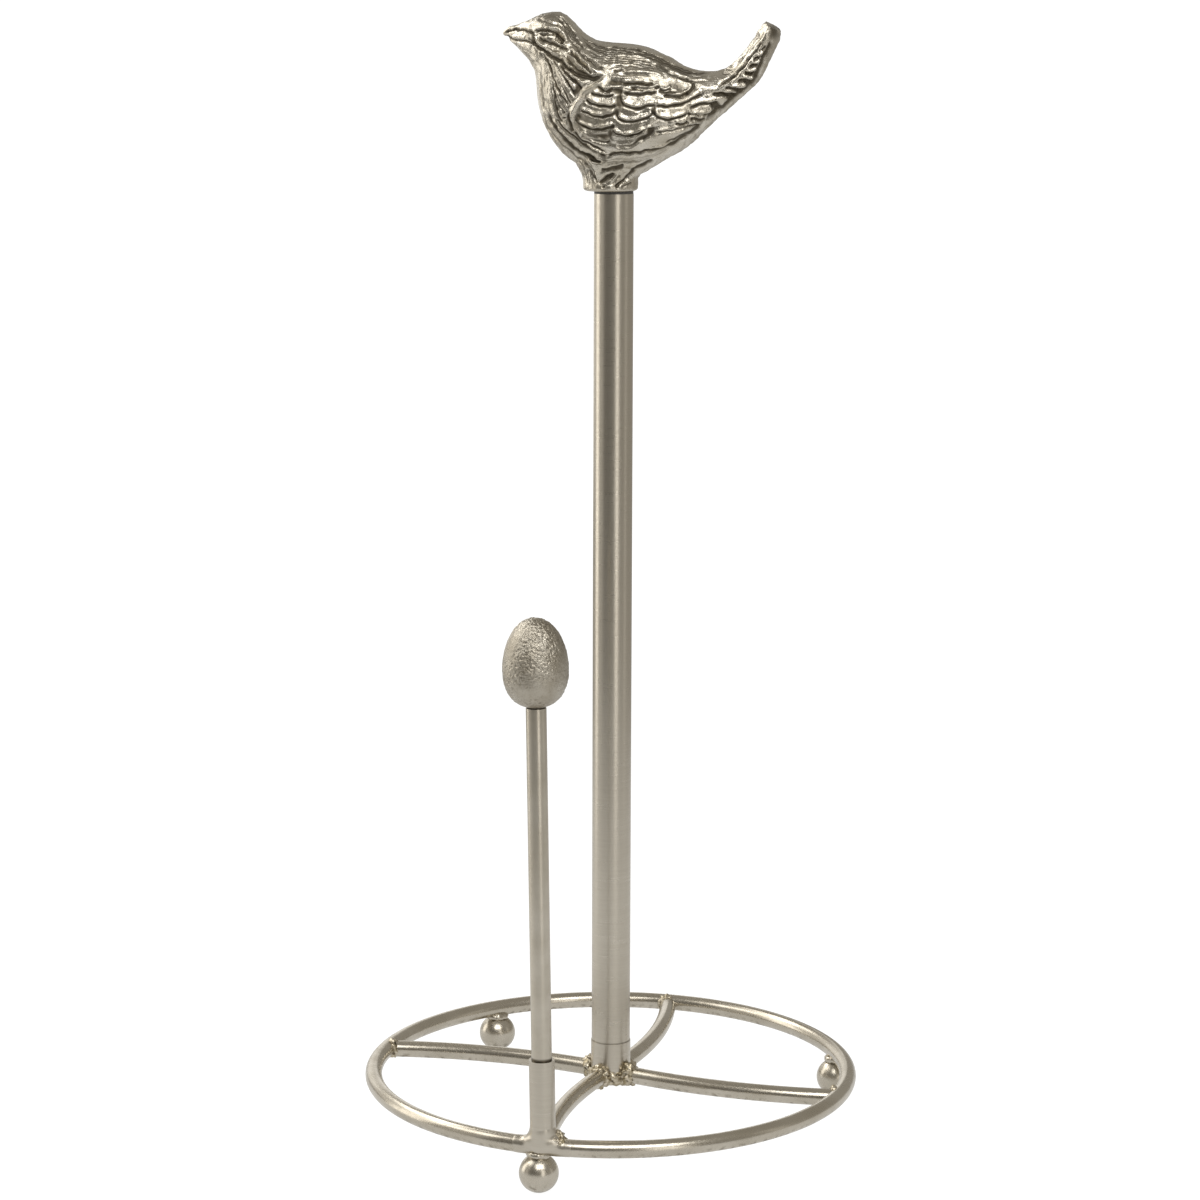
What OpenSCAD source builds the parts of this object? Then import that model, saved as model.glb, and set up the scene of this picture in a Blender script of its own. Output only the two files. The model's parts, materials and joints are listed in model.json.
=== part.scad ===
// Free-standing paper towel holder: a wire ring base on three ball feet, four curved
// spokes to a central hub, a tubular pole with a cast bird finial that unscrews to load
// a roll, and a lift-out side arm with a cast egg finial that steadies the roll.
//
// Frame: millimetres, +Z up, origin on the pole's axis at table level.
// The side arm stands towards -Y and the bird faces -X.

/* [Base] */
// Radius of the ring, to the wire's centreline
ring_r = 78.75; // [77:0.25:84]
// Diameter of the ring and spoke wire
wire_d = 5.5; // [5:0.25:6]
// Height of the ring's centreline above the table
ring_z = 15; // [14.5:0.25:17]
// Angle through which each spoke curves between hub and ring, in degrees
spoke_turn = 28; // [18:1:32]
// Diameter of the ball feet
ball_d = 12.5; // [11:0.5:12.5]

/* [Pole] */
// Outside diameter of the pole tube
pole_d = 12.7; // [12:0.1:13]
// Wall thickness of the pole tube
pole_wall = 1; // [0.8:0.1:1.2]
// Height of the seam between hub and pole
seam_z = 25.5; // [25:0.5:28]
// Height of the pole's upper end, which sets the longest roll that fits
pole_top_z = 305; // [290:0.5:320]

/* [Side arm] */
// Diameter of the arm's rod
rod_d = 6.35; // [6:0.05:6.5]
// Radial running clearance of the rod in its socket
rod_gap = 0.075; // [0.05:0.005:0.1]
// Wall thickness of the socket tube
socket_wall = 0.75; // [0.4:0.05:0.8]
// Height of the socket's upper end
socket_top_z = 43; // [40:0.5:46]
// Height of the rod's upper end, under the egg
rod_top_z = 154; // [130:0.5:170]
// Greatest radius of the egg
egg_r = 10.2; // [9:0.1:12]
// Sideways lean of the arm, as welded, in degrees towards -X
arm_lean = 0.9; // [0:0.1:1]

/* [Finial thread] */
// Major diameter of the studs' thread
thread_d = 6.35; // [6:0.05:6.5]
// Pitch of the thread
thread_pitch = 1.27; // [1:0.01:1.5]
// Turns of thread that hold the bird
thread_turns = 5; // [4:1:6]

/* [Hidden] */
$fn = 96;

// Angles about the pole, anticlockwise from +X, seen from above
spoke_front_angle = -89.5;
spoke_right_angle = -4.5;
spoke_back_angle = 90.5;
spoke_left_angle = 178.5;
foot_front_angle = -91;
foot_right_angle = 30;
foot_back_angle = 136;

// Fits and small gaps
part_gap = 0.02;     // between faces that are welded or pressed together
thread_gap = 0.05;   // radial, between a stud and its tapped hole
thread_depth = 0.65; // from crest to root

// Spokes: their centrelines lie slightly below the ring's
spoke_z = ring_z - 0.5;

// Hub and pole
hub_d = pole_d + 0.4;
hub_bottom_z = 11.5;
bore_r = pole_d / 2 - pole_wall;
insert_len = 13;
insert_step = 0.5;   // how far the lower insert sits inside the tube's end

// Bird finial
washer_t = 0.8;
neck_z = pole_top_z + washer_t;
neck_d = 17.6;
neck_h = 5;
neck_x = -1.2;       // the cast neck sits slightly off the stud's axis
stud_reach = thread_turns * thread_pitch;

// Egg finial
egg_top = 16;        // from the widest place to the tip
egg_bottom = 10.9;   // semi-axis of the lower half, before the flat
egg_fullness = 2.5;  // exponent of the lower half's curve: 2 is an ellipse
egg_seat_r = 3.2;    // flat under the egg
egg_collar_d = 6;    // short collar between the rod and the egg
egg_collar_h = 1.3;
small_stud_d = 4;
small_stud_len = 16;

// Side arm
socket_bore_r = rod_d / 2 + rod_gap;
socket_r = socket_bore_r + socket_wall;
rod_bottom_z = ring_z + wire_d / 2 + 0.25;

metal = [0.72, 0.69, 0.63];
bright_metal = [0.66, 0.63, 0.57];
nylon = [0.16, 0.15, 0.14];

// A ring of round bar about the Z axis
module hoop(r, d, z) {
    translate([0, 0, z])
        rotate_extrude()
            translate([r, 0])
                circle(d = d);
}

module upright(d, z0, z1) {
    translate([0, 0, z0])
        cylinder(d = d, h = z1 - z0);
}

module at_ring(angle) {
    rotate([0, 0, angle])
        translate([ring_r, 0, 0])
            children();
}

// The side arm's own axis, from the ring's centreline upwards
module at_arm() {
    translate([0, -ring_r, ring_z])
        rotate([0, -arm_lean, 0])
            translate([0, 0, -ring_z])
                children();
}

module tube(d, bore, z0, z1) {
    difference() {
        upright(d, z0, z1);
        upright(bore, z0 - 1, z1 + 1);
    }
}

// Stud whose thread is a row of ridges of the true pitch and depth
module threaded_stud(d, z0, z1) {
    crest = d / 2;
    root = crest - thread_depth;
    ridges = floor((z1 - z0) / thread_pitch);
    ridge = (z1 - z0) / ridges;
    profile = [
        for (i = [0 : ridges - 1])
            each [[root, z0 + i * ridge], [crest, z0 + (i + 0.5) * ridge]]
    ];
    rotate_extrude()
        polygon(concat([[0, z0]], profile, [[root, z1], [0, z1]]));
}

// ---- Base ----

module base_ring() {
    color(metal) hoop(ring_r, wire_d, ring_z);
}

// A spoke leaves the hub's axis along one direction and curves on one radius to the ring,
// which it meets at end_angle
module spoke(end_angle) {
    start = end_angle - spoke_turn / 2;
    bend_r = ring_r / (2 * sin(spoke_turn / 2));
    color(metal)
        difference() {
            translate([-bend_r * sin(start), bend_r * cos(start), spoke_z])
                rotate([0, 0, start - 90])
                    rotate_extrude(angle = spoke_turn)
                        translate([bend_r, 0])
                            circle(d = wire_d);
            hoop(ring_r, wire_d + 2 * part_gap, ring_z);
            upright(hub_d + 2 * part_gap, 0, seam_z);
            at_arm()
                upright(2 * (socket_r + part_gap), 0, socket_top_z);
        }
}

// Ball foot with the short welded neck that joins it to the wire above
module foot(angle) {
    color(metal)
        difference() {
            at_ring(angle)
                union() {
                    translate([0, 0, ball_d / 2])
                        sphere(d = ball_d);
                    upright(wire_d, ball_d / 2, ring_z - wire_d / 4);
                }
            hoop(ring_r, wire_d + 2 * part_gap, ring_z);
        }
}

module hub_sleeve() {
    color(metal) tube(hub_d, 2 * bore_r, hub_bottom_z, seam_z);
}

module hub_nut() {
    color(metal)
        tube(2 * (bore_r - part_gap), thread_d + 2 * thread_gap, seam_z - insert_len, seam_z - insert_step);
}

// ---- Pole ----

module pole_stud() {
    reach = insert_len - 1.5;
    color(metal) threaded_stud(thread_d, seam_z - reach, seam_z + reach);
}

module pole_lower_insert() {
    color(metal)
        tube(2 * (bore_r - part_gap), thread_d + 2 * thread_gap, seam_z + insert_step, seam_z + insert_len);
}

module pole_tube() {
    color(metal) tube(pole_d, 2 * bore_r, seam_z, pole_top_z);
}

module pole_upper_insert() {
    color(metal)
        tube(2 * (bore_r - part_gap), thread_d + 2 * thread_gap, pole_top_z - insert_len, pole_top_z - part_gap);
}

module finial_stud() {
    color(metal) threaded_stud(thread_d, pole_top_z - insert_len + 1.5, neck_z + stud_reach);
}

module finial_washer() {
    color(nylon) tube(pole_d - 0.2, thread_d + 2 * thread_gap, pole_top_z, neck_z);
}

// ---- Bird ----

// Stations along the bird, from beak to tail, measured from the neck's lower face.
// Each is [top x, top z, bottom x, bottom z, half width]; the section is an ellipse.
bird_stations = [
    [-36.9, 49.4, -36.7, 48.6, 0.5],
    [-34.6, 51.3, -34.8, 47.1, 1.8],
    [-31.2, 53.1, -32, 45, 3.6],
    [-27.2, 54.6, -29.4, 42.4, 6.2],
    [-22, 56, -27.2, 39.8, 8.3],
    [-17.4, 55.9, -25.8, 37.4, 9.4],
    [-13.5, 52.1, -25.1, 34.3, 10.2],
    [-10, 48.8, -24.6, 30.4, 11.6],
    [-5.8, 46.9, -23.8, 24.9, 13.2],
    [-1, 46.4, -21.3, 18.2, 14.4],
    [4, 46.1, -15, 10.4, 15.2],
    [9, 45.5, -4.6, 5.2, 15.5],
    [13.6, 44.2, 7.4, 4.9, 15.2],
    [18, 42.1, 16.9, 10.1, 14],
    [23, 39.4, 23.9, 14.1, 11.8],
    [28, 37.9, 30.9, 20.6, 9],
    [33, 37.8, 37.5, 26.4, 7.2],
    [37.1, 39.5, 42.9, 31, 6.4],
    [41, 43.1, 47.1, 35.4, 6.2],
    [44.3, 47.3, 50.1, 41.2, 6.2],
    [47.3, 51.4, 52.7, 46.8, 6.2],
    [49, 53.3, 53.4, 50.2, 5.4]
];
section_sides = 20;

function section_point(s, a) = [
    (s[0] + s[2]) / 2 + (s[0] - s[2]) / 2 * cos(a),
    s[4] * sin(a),
    (s[1] + s[3]) / 2 + (s[1] - s[3]) / 2 * cos(a)
];

// Closed skin through elliptical stations
module loft(stations, sides) {
    last = len(stations) - 1;
    points = [
        for (s = stations)
            for (i = [0 : sides - 1])
                section_point(s, 360 * i / sides)
    ];
    walls = [
        for (k = [0 : last - 1])
            for (i = [0 : sides - 1])
                let (j = (i + 1) % sides, a = k * sides, b = a + sides)
                    each [[a + i, b + j, b + i], [a + i, a + j, b + j]]
    ];
    front_end = [for (i = [sides - 1 : -1 : 0]) i];
    back_end = [for (i = [0 : sides - 1]) last * sides + i];
    polyhedron(points, concat([front_end], walls, [back_end]));
}

module bird_finial() {
    color(bright_metal)
        difference() {
            translate([0, 0, neck_z])
                union() {
                    loft(bird_stations, section_sides);
                    translate([neck_x, 0, 0])
                        cylinder(d = neck_d, h = neck_h);
                    translate([neck_x, 0, neck_h])
                        cylinder(d1 = neck_d, d2 = neck_d + 6, h = neck_h);
                }
            upright(thread_d + 2 * thread_gap, neck_z - 1, neck_z + stud_reach + 1.5);
        }
}

// ---- Side arm ----

module arm_socket() {
    color(metal)
        difference() {
            at_arm()
                tube(2 * socket_r, 2 * socket_bore_r, ring_z, socket_top_z);
            hoop(ring_r, wire_d + 2 * part_gap, ring_z);
        }
}

module arm_rod() {
    chamfer = 0.6;
    color(metal)
        at_arm()
            difference() {
                union() {
                    translate([0, 0, rod_bottom_z])
                        cylinder(d1 = rod_d - 2 * chamfer, d2 = rod_d, h = chamfer);
                    upright(rod_d, rod_bottom_z + chamfer, rod_top_z);
                }
                upright(small_stud_d + 2 * thread_gap, rod_top_z - small_stud_len / 2 - 0.5, rod_top_z + 1);
            }
}

module egg_stud() {
    color(metal)
        at_arm()
            threaded_stud(small_stud_d, rod_top_z - small_stud_len / 2, rod_top_z + small_stud_len / 2);
}

// Egg turned about Z, with its widest place at z = 0 and a flat seat of radius egg_seat_r
module egg_solid() {
    steps = 16;
    n = egg_fullness;
    seat = acos(pow(egg_seat_r / egg_r, n / 2));
    function low(a) = [egg_r * pow(cos(a), 2 / n), -egg_bottom * pow(sin(a), 2 / n)];
    lower = [for (i = [steps : -1 : 1]) low(seat * i / steps)];
    upper = [for (i = [0 : steps]) let (a = 90 * i / steps) [egg_r * cos(a), egg_top * sin(a)]];
    rotate_extrude()
        polygon(concat([[0, lower[0][1]]], lower, upper));
}

module arm_egg() {
    seat = acos(pow(egg_seat_r / egg_r, egg_fullness / 2));
    seat_z = rod_top_z + egg_collar_h;
    widest_z = seat_z + egg_bottom * pow(sin(seat), 2 / egg_fullness);
    color(bright_metal)
        at_arm()
            difference() {
                union() {
                    translate([0, 0, widest_z])
                        egg_solid();
                    upright(egg_collar_d, rod_top_z + part_gap, seat_z + 1);
                }
                upright(small_stud_d + 2 * thread_gap, rod_top_z - 1, rod_top_z + small_stud_len / 2 + 0.5);
            }
}

base_ring();
spoke(spoke_front_angle);  // spoke_front
spoke(spoke_right_angle);  // spoke_right
spoke(spoke_back_angle);  // spoke_back
spoke(spoke_left_angle);  // spoke_left
foot(foot_front_angle);  // foot_front
foot(foot_right_angle);  // foot_right
foot(foot_back_angle);  // foot_back
hub_sleeve();
hub_nut();
pole_stud();
pole_lower_insert();
pole_tube();
pole_upper_insert();
finial_stud();
finial_washer();
bird_finial();
arm_socket();
arm_rod();
egg_stud();
arm_egg();
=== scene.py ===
"""Looks of the paper towel holder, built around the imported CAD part.

Metres, in the part's own frame: +Z up along the pole, the side arm towards -Y, the bird's beak towards -X.
Lengths named or listed in millimetres are scaled by MM where they are used.
"""
import json
import math

import bpy
import numpy as np
from mathutils import Matrix, Vector, noise


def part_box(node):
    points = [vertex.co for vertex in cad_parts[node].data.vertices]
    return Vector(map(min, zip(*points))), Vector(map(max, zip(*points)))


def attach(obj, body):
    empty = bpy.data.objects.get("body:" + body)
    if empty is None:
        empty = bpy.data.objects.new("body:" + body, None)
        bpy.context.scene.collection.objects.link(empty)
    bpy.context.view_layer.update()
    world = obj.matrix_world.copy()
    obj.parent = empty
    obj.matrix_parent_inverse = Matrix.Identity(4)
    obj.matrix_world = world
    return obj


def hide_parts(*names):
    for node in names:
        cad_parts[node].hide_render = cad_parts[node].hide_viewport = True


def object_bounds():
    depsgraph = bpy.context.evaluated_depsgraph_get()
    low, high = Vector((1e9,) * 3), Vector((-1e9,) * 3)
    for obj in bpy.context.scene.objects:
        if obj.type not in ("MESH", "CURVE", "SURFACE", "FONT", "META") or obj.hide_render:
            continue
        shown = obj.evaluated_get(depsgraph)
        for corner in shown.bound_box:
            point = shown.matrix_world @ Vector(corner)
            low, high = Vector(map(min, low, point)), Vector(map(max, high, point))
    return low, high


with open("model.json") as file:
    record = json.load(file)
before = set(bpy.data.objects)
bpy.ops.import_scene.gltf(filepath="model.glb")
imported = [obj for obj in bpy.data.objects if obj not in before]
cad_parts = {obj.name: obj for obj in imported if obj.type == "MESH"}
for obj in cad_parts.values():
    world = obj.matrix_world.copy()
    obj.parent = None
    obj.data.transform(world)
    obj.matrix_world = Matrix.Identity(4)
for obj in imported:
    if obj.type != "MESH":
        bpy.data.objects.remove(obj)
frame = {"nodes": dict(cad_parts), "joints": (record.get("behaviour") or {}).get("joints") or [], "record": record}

cad_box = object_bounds()
MM = 0.001
nodes = frame["nodes"]

# Places read from the frame
TABLE_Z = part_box("foot_front")[0].z
NECK_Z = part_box("bird_finial")[0].z
ring_low, ring_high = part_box("base_ring")
WIRE_D = ring_high.z - ring_low.z
RING_Z = (ring_high.z + ring_low.z) / 2
RING_R = ring_high.x - WIRE_D / 2
HUB_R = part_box("hub_sleeve")[1].x
ARM_AXIS = Vector(next(j for j in frame["joints"] if j["name"] == "arm_lift")["axis"])
ARM_FOOT = Vector((0, -RING_R, RING_Z))


# ---- Mesh helpers ----

def add_object(name, data):
    """A new object in the scene, for a mesh, a light or a camera."""
    made = bpy.data.objects.new(name, data)
    bpy.context.scene.collection.objects.link(made)
    return made


def mesh_object(name, verts, faces):
    """A new smooth-shaded mesh object in the scene."""
    mesh = bpy.data.meshes.new(name)
    mesh.from_pydata([tuple(v) for v in verts], [], faces)
    mesh.update()
    mesh.shade_smooth()
    return add_object(name, mesh)


def vertex_array(mesh, what="co"):
    """A row of three numbers per vertex: its place, or its normal if what is "normal"."""
    flat = np.zeros(len(mesh.vertices) * 3, np.float32)
    mesh.vertices.foreach_get(what, flat)
    return flat.reshape(-1, 3).astype(float)


def set_vertices(mesh, co):
    """Moves every vertex to its row."""
    mesh.vertices.foreach_set("co", co.astype(np.float32).ravel())
    mesh.update()


def set_attribute(mesh, name, values):
    """One number per vertex that the material's nodes read."""
    made = mesh.attributes.new(name, "FLOAT", "POINT")
    made.data.foreach_set("value", values.astype(np.float32))


def apply_modifiers(obj):
    """Turns what the modifiers make into the object's own mesh."""
    graph = bpy.context.evaluated_depsgraph_get()
    made = bpy.data.meshes.new_from_object(obj.evaluated_get(graph))
    obj.modifiers.clear()
    obj.data = made
    made.shade_smooth()


def voxel_remesh(obj, size):
    """One even skin of small faces over everything that the mesh holds."""
    remesh = obj.modifiers.new("skin", "REMESH")
    remesh.mode = "VOXEL"
    remesh.voxel_size = size
    remesh.use_smooth_shade = True
    apply_modifiers(obj)


def join(first, *others):
    """Moves the others' meshes into the first object."""
    with bpy.context.temp_override(active_object=first, selected_editable_objects=[first, *others]):
        bpy.ops.object.join()


def relax(mesh, weight, rounds):
    """Pulls each vertex towards the middle of its neighbours, by weight."""
    edges = np.zeros(len(mesh.edges) * 2, np.int32)
    mesh.edges.foreach_get("vertices", edges)
    a, b = edges.reshape(-1, 2).T
    co = vertex_array(mesh)
    count = np.bincount(a, minlength=len(co)) + np.bincount(b, minlength=len(co))
    for _ in range(rounds):
        middle = np.zeros_like(co)
        for axis in range(3):
            middle[:, axis] = np.bincount(a, co[b, axis], len(co)) + np.bincount(b, co[a, axis], len(co))
        middle /= count[:, None]
        co += weight[:, None] * (middle - co)
    set_vertices(mesh, co)


def smooth_curve(points, steps):
    """A Catmull-Rom curve through rows of numbers, with steps to each span."""
    p = np.array(points, float)
    p = np.vstack([2 * p[0] - p[1], p, 2 * p[-1] - p[-2]])
    made = []
    for i in range(1, len(p) - 2):
        a, b, c, d = p[i - 1:i + 3]
        for t in np.arange(steps) / steps:
            square = (2 * a - 5 * b + 4 * c - d) * t * t
            cube = (3 * b - a - 3 * c + d) * t ** 3
            made.append(0.5 * (2 * b + (c - a) * t + square + cube))
    made.append(p[-2])
    return np.array(made)


def turned(name, profile, sides, matrix=Matrix()):
    """A solid turned about matrix's Z from [radius, height] points, bottom first, closed at both ends."""
    verts, faces = [], []
    for r, z in profile:
        for i in range(sides):
            a = 2 * math.pi * i / sides
            verts.append(matrix @ Vector((r * math.cos(a), r * math.sin(a), z)))
    for k in range(len(profile) - 1):
        for i in range(sides):
            j = (i + 1) % sides
            faces.append((k * sides + i, k * sides + j, (k + 1) * sides + j, (k + 1) * sides + i))
    faces.append(tuple(reversed(range(sides))))
    faces.append(tuple((len(profile) - 1) * sides + i for i in range(sides)))
    return mesh_object(name, verts, faces)


def lumps(points, size, seed):
    """Smooth random numbers from about -1 to 1 at points, with lumps of that size."""
    shift = Vector((seed * 7.1, seed * 3.7, seed * 5.3))
    return np.array([noise.noise(Vector(p) / size + shift) for p in points]) * 2


def finish_piece(obj, body, slot, material, *stands_for):
    """Gives a new piece its material and body, and hides the CAD nodes that it stands for. The slot is not used.
    """
    obj.data.materials.clear()
    obj.data.materials.append(material)
    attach(obj, body)
    if stands_for:
        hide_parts(*stands_for)


# ---- Materials ----

def set_inputs(node, values):
    """Sets a node's own sockets, from a dictionary of their names."""
    for name, value in values.items():
        node.inputs[name].default_value = value


class Nodes:
    """A material's node tree, with short calls for the nodes that it is made of."""

    def __init__(self, name):
        self.material = bpy.data.materials.new(name)
        self.material.use_nodes = True
        self.tree = self.material.node_tree
        self.shader = self.tree.nodes["Principled BSDF"]

    def node(self, kind, **values):
        made = self.tree.nodes.new("ShaderNode" + kind)
        for key, value in values.items():
            setattr(made, key, value)
        return made

    def link(self, a, b):
        self.tree.links.new(a, b)

    def place(self, scale=(1, 1, 1)):
        """The vertex's place in the part's frame, scaled along each axis."""
        where = self.node("TexCoord")
        mapping = self.node("Mapping")
        set_inputs(mapping, {"Scale": scale})
        self.link(where.outputs["Object"], mapping.inputs["Vector"])
        return mapping.outputs["Vector"]

    def noise(self, scale, detail=3, stretch=(1, 1, 1)):
        made = self.node("TexNoise")
        set_inputs(made, {"Scale": scale, "Detail": detail, "Roughness": 0.55})
        self.link(self.place(stretch), made.inputs["Vector"])
        return made.outputs["Fac"]

    def range(self, value, low, high, to_low, to_high):
        made = self.node("MapRange")
        set_inputs(made, {"From Min": low, "From Max": high, "To Min": to_low, "To Max": to_high})
        self.link(value, made.inputs["Value"])
        return made.outputs["Result"]

    def attribute(self, name):
        return self.node("Attribute", attribute_name=name).outputs["Fac"]

    def mix(self, share, a, b):
        """Colour a to colour b by share; each is a colour or a node's output."""
        made = self.node("Mix", data_type="RGBA")
        self.link(share, made.inputs[0])
        for value, socket in ((a, made.inputs[6]), (b, made.inputs[7])):
            if isinstance(value, tuple):
                socket.default_value = (*value, 1)
            else:
                self.link(value, socket)
        return made.outputs[2]

    def maths(self, kind, a, b):
        made = self.node("Math", operation=kind)
        for value, socket in ((a, made.inputs[0]), (b, made.inputs[1])):
            if isinstance(value, (int, float)):
                socket.default_value = value
            else:
                self.link(value, socket)
        return made.outputs[0]

    def bump(self, height, strength, depth, under=None):
        made = self.node("Bump")
        set_inputs(made, {"Strength": strength, "Distance": depth})
        self.link(height, made.inputs["Height"])
        if under is not None:
            self.link(under, made.inputs["Normal"])
        return made.outputs["Normal"]

    def seam(self, colour, height, width, share):
        """The colour with a dark line round the part at that height."""
        place = self.node("SeparateXYZ")
        self.link(self.place(), place.inputs[0])
        off = self.maths("ABSOLUTE", self.maths("SUBTRACT", place.outputs["Z"], height), 0)
        return self.mix(self.range(off, 0.3 * width, width, share, 0), colour, PATINA_AND_SHADE)

    def finish(self, colour, roughness, normal, metallic=1.0):
        self.link(colour, self.shader.inputs["Base Color"])
        self.link(roughness, self.shader.inputs["Roughness"])
        self.link(normal, self.shader.inputs["Normal"])
        set_inputs(self.shader, {"Metallic": metallic})
        return self.material


NICKEL = (0.53, 0.49, 0.415)
NICKEL_DULL = (0.44, 0.40, 0.325)
BRUSHED = (0.535, 0.497, 0.424)
BRUSHED_DULL = (0.46, 0.42, 0.35)
CAST_SPECK = (0.2, 0.165, 0.11)
BROWN_SPECK = (0.13, 0.105, 0.065)
# Dark brown: patina in the casting's cuts, and painted shade on the bird's shade patches, at the egg's foot and on
# the rod just above its socket
PATINA_AND_SHADE = (0.06, 0.047, 0.028)
WELD_BRIGHT = (0.58, 0.52, 0.41)
WELD_BROWN = (0.33, 0.275, 0.17)
WELD_HOLLOW = (0.07, 0.052, 0.03)
STEEL_BRIGHT = (0.52, 0.52, 0.51)
STEEL_DULL = (0.40, 0.395, 0.38)


def satin_nickel(name, low_rough, high_rough, seam=None):
    """Plated wire: nearly smooth, with cloudy wear, fine grain and brown specks on what faces down.

    Seam is the height of a painted shadow line.
    """
    n = Nodes(name)
    cloud = n.noise(90, 4)
    grain = n.noise(1500, 2)
    colour = n.mix(n.range(cloud, 0.35, 0.7, 0, 1), NICKEL, NICKEL_DULL)
    facing = n.node("SeparateXYZ")
    n.link(n.node("NewGeometry").outputs["Normal"], facing.inputs[0])
    beneath = n.range(facing.outputs["Z"], -0.2, -0.75, 0, 1)
    specks = n.maths("MULTIPLY", n.range(n.noise(520, 4), 0.5, 0.64, 0, 0.8), beneath)
    colour = n.mix(specks, colour, BROWN_SPECK)
    if seam is not None:
        colour = n.seam(colour, seam, 0.8 * MM, 0.85)
    worn = n.range(cloud, 0.3, 0.7, low_rough, high_rough)
    rough = n.maths("ADD", worn, n.range(grain, 0.3, 0.7, 0, 0.05))
    normal = n.bump(cloud, 0.25, 0.4 * MM, n.bump(grain, 0.08, 0.05 * MM))
    return n.finish(colour, rough, normal)


def brushed_nickel(name, seam=None):
    """Plated tube, brushed round its axis. Seam is the height of a faint dark line."""
    n = Nodes(name)
    lines = n.noise(2600, 3, (0.04, 0.04, 1))
    mottle = n.noise(1400, 2, (1, 1, 0.4))
    cloud = n.noise(60, 3, (1, 1, 0.35))
    tone = n.maths("ADD", n.range(lines, 0.25, 0.75, 0, 0.5), n.range(cloud, 0.3, 0.7, 0, 0.5))
    colour = n.mix(tone, BRUSHED, BRUSHED_DULL)
    if seam is not None:
        colour = n.seam(colour, seam, 0.42 * MM, 0.42)
    rough = n.range(lines, 0.3, 0.7, 0.27, 0.34)
    normal = n.bump(lines, 0.15, 0.02 * MM, n.bump(mottle, 0.35, 0.05 * MM))
    return n.finish(colour, rough, normal)


def cast_nickel(name, pit_depth, pit_size, low_rough, high_rough, bright, dull):
    """Plated casting, bright where it stands proud, dark with patina where it is cut, and darkened as painted
    shade on the bird's shade patches and at the egg's foot. Pits are in millimetres.
    """
    n = Nodes(name)
    cut = n.attribute("darkening")
    cloud = n.noise(160, 4)
    pits = n.noise(1 / (pit_size * MM), 3)
    skin = n.mix(n.range(cloud, 0.35, 0.7, 0, 1), bright, dull)
    # the darkening attribute: patina in the cuts, and painted shade on the shade patches and at the egg's foot
    colour = n.mix(n.range(cut, 0.1, 0.65, 0, 0.9), skin, PATINA_AND_SHADE)
    specks = n.range(n.noise(2200, 3), 0.55, 0.72, 0, 0.45)
    colour = n.mix(specks, colour, CAST_SPECK)
    worn = n.range(cloud, 0.3, 0.7, low_rough, high_rough)
    rough = n.maths("ADD", worn, n.range(cut, 0.2, 0.9, 0, 0.3))
    normal = n.bump(pits, 0.6, pit_depth * MM, n.bump(cloud, 0.2, 0.3 * MM))
    return n.finish(colour, rough, normal)


def weld_metal():
    """Plated weld bead: pitted, yellowish and dark in its hollows."""
    n = Nodes("weld_metal")
    cut = n.attribute("darkening")
    blotch = n.noise(700, 4)
    pits = n.noise(2400, 3)
    skin = n.mix(n.range(blotch, 0.4, 0.65, 0, 1), WELD_BRIGHT, WELD_BROWN)
    colour = n.mix(n.range(cut, 0.35, 0.9, 0, 1), skin, WELD_HOLLOW)
    rough = n.range(blotch, 0.35, 0.65, 0.28, 0.45)
    normal = n.bump(blotch, 0.8, 0.35 * MM, n.bump(pits, 0.5, 0.12 * MM))
    return n.finish(colour, rough, normal)


def turned_steel():
    """Plain steel with tool marks round its axis."""
    n = Nodes("turned_steel")
    lines = n.noise(700, 2, (0.1, 0.1, 5))
    cloud = n.noise(300, 3)
    colour = n.mix(cloud, STEEL_BRIGHT, STEEL_DULL)
    rough = n.range(lines, 0.3, 0.7, 0.24, 0.42)
    return n.finish(colour, rough, n.bump(lines, 0.3, 0.05 * MM))


def dark_nylon():
    """The washer's matt, faintly mottled plastic."""
    n = Nodes("dark_nylon")
    mottle = n.noise(1800, 3)
    colour = n.mix(mottle, (0.05, 0.046, 0.042), (0.08, 0.075, 0.068))
    rough = n.range(mottle, 0.3, 0.7, 0.5, 0.65)
    return n.finish(colour, rough, n.bump(mottle, 0.3, 0.05 * MM), metallic=0.0)


FEET = ("front", "right", "back")
WIRE = satin_nickel("satin_nickel", 0.19, 0.27)
BALL = satin_nickel("satin_nickel_ball", 0.21, 0.29)
# a dark line painted on the rod just above the socket's mouth: a painted shadow of the gap between rod and socket
ROD = satin_nickel("satin_nickel_rod", 0.27, 0.34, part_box("arm_socket")[1].z + 0.25 * MM)
TUBE = brushed_nickel("brushed_nickel")
POLE = brushed_nickel("brushed_nickel_pole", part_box("hub_sleeve")[1].z + 0.15 * MM)
BIRD_METAL = cast_nickel(
    "cast_nickel_bird", pit_depth=0.2, pit_size=0.42, low_rough=0.2, high_rough=0.31,
    bright=(0.59, 0.553, 0.478), dull=(0.46, 0.418, 0.337),
)
EGG_METAL = cast_nickel(
    "cast_nickel_egg", pit_depth=0.38, pit_size=0.4, low_rough=0.26, high_rough=0.34,
    bright=(0.46, 0.427, 0.362), dull=(0.36, 0.323, 0.26),
)
WELD = weld_metal()
STEEL = turned_steel()
NYLON = dark_nylon()

SLOT_MATERIALS = {
    "satin_wire": WIRE,
    "brushed_tube": TUBE,
    "cast_nickel": EGG_METAL,
    "plain_steel": STEEL,
    "nylon": NYLON,
}
for sub in frame["record"]["subparts"]:
    part = nodes[sub["node"]]
    part.data.materials.clear()
    part.data.materials.append(SLOT_MATERIALS[sub["material_slot"]])
nodes["arm_rod"].data.materials[0] = ROD
nodes["pole_tube"].data.materials[0] = POLE
for side in FEET:
    nodes["foot_" + side].data.materials[0] = BALL


# ---- Bird ----

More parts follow.
